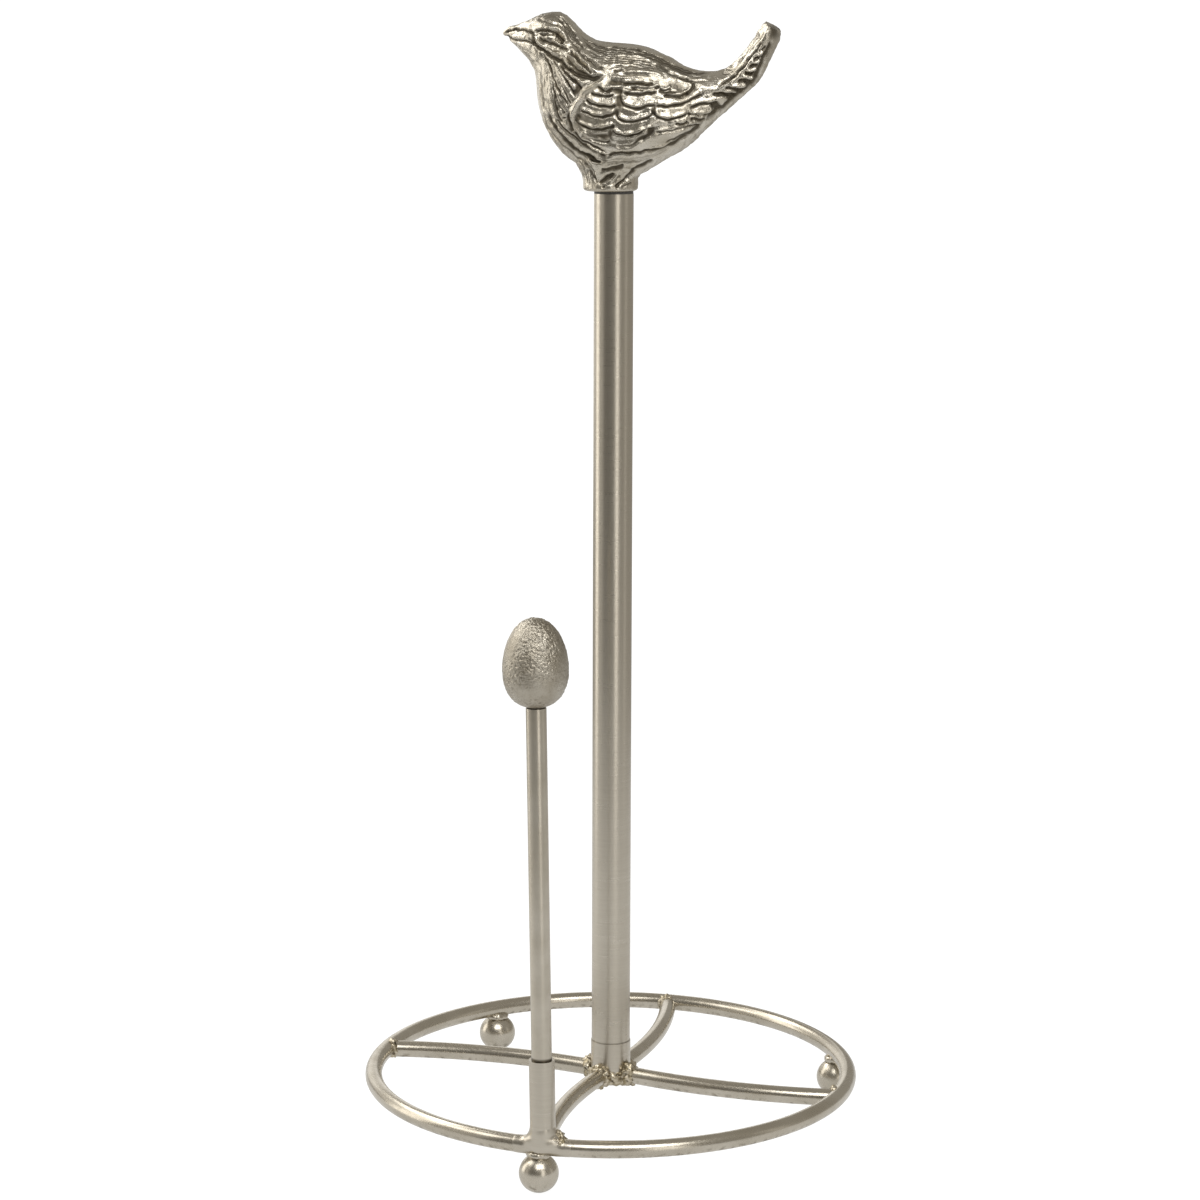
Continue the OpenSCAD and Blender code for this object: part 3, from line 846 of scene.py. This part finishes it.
def bird_body():
    """The bird's plain skin: a smooth loft through its stations, and the cast neck."""
    sides, spans = 72, 6
    rows = smooth_curve(BIRD_STATIONS, spans)
    angle = 2 * np.pi * np.arange(sides) / sides
    verts = []
    for top_x, top_z, low_x, low_z, half in rows:
        up, out = np.cos(angle), np.sin(angle)
        # the tail's upper side is folded like a roof
        power = 2 - 0.75 * np.clip((top_x - 31) / 6, 0, 1) * (up > 0)
        size = (np.abs(up) ** power + np.abs(out) ** power) ** (-1 / power)
        up, out = up * size, out * size
        x = (top_x + low_x) / 2 + (top_x - low_x) / 2 * up
        z = (top_z + low_z) / 2 + (top_z - low_z) / 2 * up
        verts.extend(np.column_stack([x, half * out, z]))
    faces = []
    for k in range(len(rows) - 1):
        for i in range(sides):
            j = (i + 1) % sides
            faces.append((k * sides + j, k * sides + i, (k + 1) * sides + i, (k + 1) * sides + j))
    faces.append(tuple(range(sides)))
    faces.append(tuple((len(rows) - 1) * sides + i for i in reversed(range(sides))))
    body = mesh_object("bird", verts, faces)
    neck = turned("bird_neck", NECK_PROFILE, sides, Matrix.Translation((NECK_X, 0, 0)))
    join(body, neck)
    return body


def make_bird():
    """The cast bird: small even faces moved out and in by the relief, and the stud's bore."""
    bird = bird_body()
    voxel_remesh(bird, BIRD_VOXEL)
    mesh = bird.data
    co = vertex_array(mesh)
    tip = np.clip((co[:, 0] - TIP_X) / 4, 0, 1)
    relax(mesh, 0.5 * (1 - tip), 4)
    # soften the joint between neck and belly
    x, y, z = vertex_array(mesh).T
    out = np.hypot(x - NECK_X, y)
    joint = np.exp(-((z - 6.5) / 2.6) ** 2) * np.exp(-((out - 10) / 5) ** 2)
    relax(mesh, 0.5 * joint, 60)

    co, normal = vertex_array(mesh), vertex_array(mesh, "normal")
    x, y, z = co.T
    eye_x, eye_out, eye_z = PLAN_EYE
    beyond = np.abs(y) / (eye_out - np.abs(y))
    plan = np.column_stack([x + (x - eye_x) * beyond, z + (z - eye_z) * beyond])
    # the lines wander a little, as hand-cut ones do
    plan += 0.24 * np.column_stack([lumps(co, size=2.2, seed=8), lumps(co, size=2.2, seed=9)])
    lift, cut = bird_relief(plan)
    side_on = np.clip((np.abs(normal[:, 1]) + 0.7 * np.abs(normal[:, 0]) - 0.1) / 0.3, 0, 1)
    lift *= side_on
    cut *= np.clip(side_on + 0.25, 0, 1)
    # feather strokes along the back, the nape and the underside, which the plan doesn't reach
    wander = lumps(co, size=9, seed=1)
    strokes = np.sin((y + 0.5 * wander) * 2 * np.pi / STROKE_GAP)
    flat = np.clip(1 - side_on * 1.4, 0, 1) * np.clip((z - 9) / 4, 0, 1) * (x < 48.5)
    on_head = np.clip((-12 - x) / 5, 0, 1)
    flat *= 1 - 0.9 * on_head
    lift += 0.2 * strokes * flat
    cut = np.maximum(cut, (0.04 + 0.42 * np.clip(-strokes, 0, 1)) * flat)
    # cast skin
    grit = lumps(co, size=0.9, seed=2)
    lift += 0.06 * grit * (0.5 + cut)
    lift += (0.12 * lumps(co, size=3.5, seed=3) + 0.09 * lumps(co, size=1.6, seed=10)) * side_on
    # the neck's lower face stays flat
    keep = np.clip((z - 0.3) / 0.8, 0, 1)
    set_vertices(mesh, co + normal * (lift * keep)[:, None])
    relax(mesh, np.full(len(mesh.vertices), 0.1), 1)
    co = vertex_array(mesh)
    co[:, 2] = np.clip(co[:, 2], 0, (cad_box[1].z - NECK_Z) / MM)
    set_vertices(mesh, co)

    bore = turned("bird_bore", [[BORE_R, -2], [BORE_R, BORE_TOP]], 48)
    cutter = bird.modifiers.new("bore", "BOOLEAN")
    cutter.operation = "DIFFERENCE"
    cutter.solver = "MANIFOLD"
    cutter.object = bore
    # darkening: patina in the cuts and painted shade on the shade patches
    set_attribute(mesh, "darkening", np.clip(cut, 0, 1))
    apply_modifiers(bird)
    bpy.data.objects.remove(bore)
    bird.data.transform(Matrix.Translation((0, 0, NECK_Z)) @ Matrix.Scale(MM, 4))
    finish_piece(bird, "bird", "cast_nickel", BIRD_METAL, "bird_finial")


# ---- Egg ----

EGG_VOXEL = 0.24 * MM
# Heights on the egg in millimetres, before and after its body is let down onto the rod
EGG_HEIGHTS = [0, 1.3, 6, 60]
EGG_LET_DOWN = [0, 0.5, 6, 60]


def make_egg():
    """The arm's cast egg: the CAD egg's skin made even, with a softly hammered and pitted surface."""
    egg = add_object("egg", nodes["arm_egg"].data.copy())
    voxel_remesh(egg, EGG_VOXEL)
    mesh = egg.data
    relax(mesh, np.full(len(mesh.vertices), 0.5), 12)
    co, normal = vertex_array(mesh), vertex_array(mesh, "normal")
    low = co[:, 2].min()
    co[:, 2] = low + np.interp((co[:, 2] - low) / MM, EGG_HEIGHTS, EGG_LET_DOWN) * MM
    skin = np.clip((co[:, 2] - low - 0.8 * MM) / (1.5 * MM), 0, 1)
    dents = lumps(co, size=2.1 * MM, seed=4)
    pits = lumps(co, size=0.78 * MM, seed=5)
    fine = lumps(co, size=0.5 * MM, seed=6)
    worn = np.clip(0.85 + 1.3 * lumps(co, size=11 * MM, seed=7.35), 0.35, 1.3)
    depth = 0.03 * dents + (0.08 * pits + 0.05 * fine) * worn
    cut = np.clip((-0.6 * pits - 0.4 * fine) * worn - 0.3, 0, 0.3) * skin
    # painted shadow where the egg meets the rod
    cut = np.maximum(cut, 0.55 * np.clip(1.3 - (co[:, 2] - low) / (0.5 * MM), 0, 1))
    set_attribute(mesh, "darkening", cut)
    # a little inwards, so that no lump passes the CAD egg
    set_vertices(mesh, co + normal * ((depth - 0.12) * MM * skin)[:, None])
    finish_piece(egg, "arm", "cast_nickel", EGG_METAL, "arm_egg")


# ---- Welds ----

def bead(name, centre, axis, ring_r, bead_r, seed, squash=1.0, lumpy=1.0, material=WELD):
    """A lumpy ring of weld metal round an axis. Its radii are in millimetres; squash scales its height."""
    turns, sides = 72, 20
    verts, faces = [], []
    for i in range(turns):
        a = 2 * math.pi * i / turns
        out = Vector((math.cos(a), math.sin(a), 0))
        for k in range(sides):
            b = 2 * math.pi * k / sides
            up = Vector((0, 0, bead_r * squash * math.sin(b)))
            verts.append(out * (ring_r + bead_r * math.cos(b)) + up)
            u, v = (i + 1) % turns, (k + 1) % sides
            faces.append((i * sides + k, u * sides + k, u * sides + v, i * sides + v))
    place = Matrix.Translation(centre) @ Vector(axis).to_track_quat("Z", "Y").to_matrix().to_4x4()
    made = mesh_object(name, [place @ (v * MM) for v in verts], faces)
    mesh = made.data
    co, normal = vertex_array(mesh), vertex_array(mesh, "normal")
    big, small = lumps(co, 1.5 * MM, seed), lumps(co, 0.6 * MM, seed + 0.5)
    set_attribute(mesh, "darkening", np.clip(-0.8 * big - 0.6 * small, 0, 1))
    set_vertices(mesh, co + normal * ((0.42 * big + 0.2 * small) * lumpy * bead_r * MM)[:, None])
    finish_piece(made, "base", "satin_wire", material)


def spoke_end(co, out, at, inwards):
    """The middle of a spoke's section at that distance from the pole, and the way the spoke runs there."""
    here = co[np.abs(out - at) < 1.3 * MM].mean(0)
    there = co[np.abs(out - at - inwards) < 1.3 * MM].mean(0)
    return Vector(here), Vector(here - there).normalized()


def make_spoke_welds():
    """A bead at each spoke's two ends, where the frame's own vertices say that the spoke stops."""
    for seed, side in enumerate(("front", "right", "back", "left")):
        co = vertex_array(nodes["spoke_" + side].data)
        out = np.hypot(co[:, 0], co[:, 1])
        place, axis = spoke_end(co, out, HUB_R + 2.2 * MM, 5 * MM)
        place += axis * (1.3 * MM)
        bead("weld_hub_" + side, place, axis, ring_r=2.5, bead_r=1.35, seed=seed + 10, squash=1.5)
        if side != "front":
            place, axis = spoke_end(co, out, RING_R - WIRE_D / 2 - 1.2 * MM, -5 * MM)
            place += axis * (1.5 * MM)
            bead("weld_ring_" + side, place, axis, ring_r=2.2, bead_r=0.95, seed=seed + 20, squash=1.5)


def make_hub_weld():
    """The rough skirt of weld metal round the hub's foot, between the spokes."""
    place = Vector((0, 0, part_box("hub_sleeve")[0].z + 2.3 * MM))
    ring_r = HUB_R / MM - 0.3
    bead("weld_hub_skirt", place, (0, 0, 1), ring_r, bead_r=1.3, seed=15, squash=1.75)


def make_foot_welds():
    """The short fillet between each ball foot and the ring."""
    for seed, side in enumerate(FEET):
        low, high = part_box("foot_" + side)
        x, y = (low.x + high.x) / 2, (low.y + high.y) / 2
        place = Vector((x, y, TABLE_Z + 12.5 * MM))
        bead(
            "weld_foot_" + side, place, (0, 0, 1), ring_r=2.3, bead_r=1.55,
            seed=seed + 30, squash=0.85, lumpy=0.3, material=BALL,
        )


def ring_length(name, radius, half_angle):
    """A short length of round bar along the base ring, either side of the side arm."""
    steps, sides = 24, 32
    verts, faces = [], []
    for i in range(steps + 1):
        a = -math.pi / 2 + half_angle * (2 * i / steps - 1)
        out = Vector((math.cos(a), math.sin(a), 0))
        for k in range(sides):
            b = 2 * math.pi * k / sides
            up = Vector((0, 0, RING_Z + radius * math.sin(b)))
            verts.append(out * (RING_R + radius * math.cos(b)) + up)
            if i < steps:
                u, v = (i + 1) * sides, (k + 1) % sides
                faces.append((i * sides + k, u + k, u + v, i * sides + v))
    faces.append(tuple(range(sides)))
    faces.append(tuple(steps * sides + k for k in reversed(range(sides))))
    return mesh_object(name, verts, faces)


FILLET_VOXEL = 0.3 * MM
# [radius, height] in millimetres: the fillet up the socket, and its flare along the ring
FILLET_PROFILE = [[3.6, -1.6], [4.15, -1.2], [4.15, 5], [4, 7], [3.6, 8.4]]
FLARE_PROFILE = [[6.6, 0], [6.6, 2.2], [5, 3.8], [4.2, 6], [3.4, 7.4]]


def make_socket_weld():
    """The smooth fillet from the socket's foot onto the ring, and the bead at the front spoke's end."""
    place = Matrix.Translation(ARM_FOOT) @ ARM_AXIS.to_track_quat("Z", "Y").to_matrix().to_4x4()
    fillet = turned("weld_socket", [[r * MM, z * MM] for r, z in FILLET_PROFILE], 64, place)
    # the flare spreads along the ring, not across it
    flare_place = Matrix.Translation(ARM_FOOT) @ Matrix.Scale(0.6, 4, (0, 1, 0))
    flare = turned("weld_socket_flare", [[r * MM, z * MM] for r, z in FLARE_PROFILE], 64, flare_place)
    bar = ring_length("weld_socket_bar", WIRE_D / 2 + 0.1 * MM, 10 * MM / RING_R)
    join(fillet, flare, bar)
    voxel_remesh(fillet, FILLET_VOXEL)
    mesh = fillet.data
    relax(mesh, np.full(len(mesh.vertices), 0.5), 30)
    co, normal = vertex_array(mesh), vertex_array(mesh, "normal")
    swell = 0.05 * lumps(co, size=2.4 * MM, seed=42) + 0.05
    set_vertices(mesh, co + normal * (swell * MM)[:, None])
    finish_piece(fillet, "base", "satin_wire", TUBE)

    place = ARM_FOOT + Vector((4.8, 0.2, 2.5)) * MM
    bead("weld_spoke_front", place, (0.6, -0.3, 0.7), ring_r=1.3, bead_r=1.6, seed=43, squash=1.1)


# ---- Stage, light and camera ----

FLOOR_R = 0.55
FLOOR_THICKNESS = 0.02


def make_floor():
    """A pale disc that shows nearly as bright as the room and takes soft shadows."""
    floor = turned("floor", [[FLOOR_R, -FLOOR_THICKNESS], [FLOOR_R, 0]], 128)
    floor.location = (0, 0, TABLE_Z - 0.02 * MM)
    n = Nodes("floor_paper")
    grain = n.noise(40, 2)
    colour = n.mix(grain, (0.15, 0.15, 0.15), (0.16, 0.16, 0.16))
    set_inputs(n.shader, {"Emission Color": (1, 1, 1, 1), "Specular IOR Level": 0.1})
    seen = n.node("LightPath").outputs["Is Camera Ray"]
    n.link(n.range(seen, 0, 1, 0.68, 0.95), n.shader.inputs["Emission Strength"])
    rough = n.range(grain, 0, 1, 0.8, 0.9)
    floor.data.materials.append(n.finish(colour, rough, n.bump(grain, 0.02, 0.1 * MM), metallic=0.0))


# The view: degrees round the pole from -Y, then in metres the camera's distance from the pole, its shift
# across the view and its height, then its tilt down and its roll in degrees
VIEW_AZIMUTH = 15.6
VIEW_DISTANCE = 1.0553
VIEW_ACROSS = -0.0040
VIEW_HEIGHT = 0.3627
VIEW_PITCH = 10.15
VIEW_ROLL = 0.17
LENS_MM = 99.06
SENSOR_MM = 36
# What the lights aim at
POLE_MIDDLE = Vector((0, 0, 0.16))


def round_pole(azimuth, elevation):
    """The way out from the pole at that elevation and azimuth, counted to the right of the view."""
    a, e = math.radians(VIEW_AZIMUTH + azimuth), math.radians(elevation)
    return Vector((math.sin(a) * math.cos(e), -math.cos(a) * math.cos(e), math.sin(e)))


def softbox(name, azimuth, elevation, distance, width, height, strength, warm):
    """A soft rectangular light that faces the pole's middle and shows only in what it lights."""
    data = bpy.data.lights.new(name, "AREA")
    data.shape = "RECTANGLE"
    data.size = width
    data.size_y = height
    data.energy = strength * width * height * math.pi
    data.color = (1, 1 - 0.06 * warm, 1 - 0.16 * warm)
    light = add_object(name, data)
    light.location = POLE_MIDDLE + round_pole(azimuth, elevation) * distance
    aim = POLE_MIDDLE - light.location
    light.rotation_euler = aim.to_track_quat("-Z", "Y").to_euler()
    light.visible_camera = False


# Lights: (name, azimuth, elevation, distance, width, height, strength, warmth), in degrees and metres
LIGHTS = [
    ("key", 8, 47, 1.3, 1.0, 0.7, 4.5, 0),
    ("left_strip", -103, 13, 1.0, 0.46, 1.0, 2.0, 0.4),
    ("left_fill", -70, 14, 1.0, 0.4, 1.0, 0.4, 0.4),
    ("left_top", -86, 46, 1.0, 0.5, 0.4, 2.4, 0.2),
    ("left_back", -131, 14, 1.0, 0.45, 0.6, 0.4, 0.2),
    ("left_back_top", -134, 38, 1.0, 0.55, 0.35, 3.8, 0.2),
    ("behind", -164, 6, 1.2, 0.95, 0.5, 0.8, 0),
    ("right_fill", 79, 4, 1.1, 0.16, 0.9, 0.4, 0.3),
    ("right_strip", 24, 2, 1.15, 0.34, 0.9, 1.6, 0.3),
]
# The room as the metal reflects it is dimmest towards this azimuth
DARK_AZIMUTH = -35
ROOM_BRIGHT = 0.42
ROOM_DIM = 0.18


def make_world():
    """A white room to the eye, and a dim warm grey one to the metal, dimmest at the left front."""
    world = bpy.data.worlds.new("room")
    world.use_nodes = True
    tree = world.node_tree
    tree.nodes.clear()
    new, link = tree.nodes.new, tree.links.new
    seen = new("ShaderNodeLightPath")
    white = new("ShaderNodeBackground")
    grey = new("ShaderNodeBackground")
    both = new("ShaderNodeMixShader")
    out = new("ShaderNodeOutputWorld")
    set_inputs(white, {"Color": (1, 1, 1, 1), "Strength": 1.1})
    set_inputs(grey, {"Color": (1, 0.95, 0.86, 1)})
    where = new("ShaderNodeTexCoord")
    facing = new("ShaderNodeVectorMath")
    facing.operation = "DOT_PRODUCT"
    facing.inputs[1].default_value = round_pole(DARK_AZIMUTH, 0)
    dim = new("ShaderNodeMapRange")
    set_inputs(dim, {"From Min": -0.3, "To Min": ROOM_BRIGHT, "To Max": ROOM_DIM})
    link(where.outputs["Generated"], facing.inputs[0])
    link(facing.outputs["Value"], dim.inputs["Value"])
    link(dim.outputs["Result"], grey.inputs["Strength"])
    link(seen.outputs["Is Camera Ray"], both.inputs["Fac"])
    link(grey.outputs[0], both.inputs[1])
    link(white.outputs[0], both.inputs[2])
    link(both.outputs[0], out.inputs["Surface"])
    bpy.context.scene.world = world


def make_camera():
    """The view that the lights are set up for."""
    data = bpy.data.cameras.new("camera")
    data.lens = LENS_MM
    data.sensor_width = SENSOR_MM
    data.clip_start = 0.05
    data.clip_end = 20
    camera = add_object("camera", data)
    a = math.radians(VIEW_AZIMUTH)
    across = Vector((math.cos(a), math.sin(a), 0)) * VIEW_ACROSS
    away = Vector((math.sin(a), -math.cos(a), 0)) * VIEW_DISTANCE
    camera.matrix_world = (
        Matrix.Translation(across + away + Vector((0, 0, VIEW_HEIGHT)))
        @ Matrix.Rotation(a, 4, "Z")
        @ Matrix.Rotation(math.radians(90 - VIEW_PITCH), 4, "X")
        @ Matrix.Rotation(math.radians(VIEW_ROLL), 4, "Z")
    )
    bpy.context.scene.camera = camera
    bpy.context.scene.view_settings.view_transform = "Standard"


make_camera()
make_world()
for light in LIGHTS:
    softbox(*light)
make_floor()
make_bird()
make_egg()
make_spoke_welds()
make_hub_weld()
make_foot_welds()
make_socket_weld()
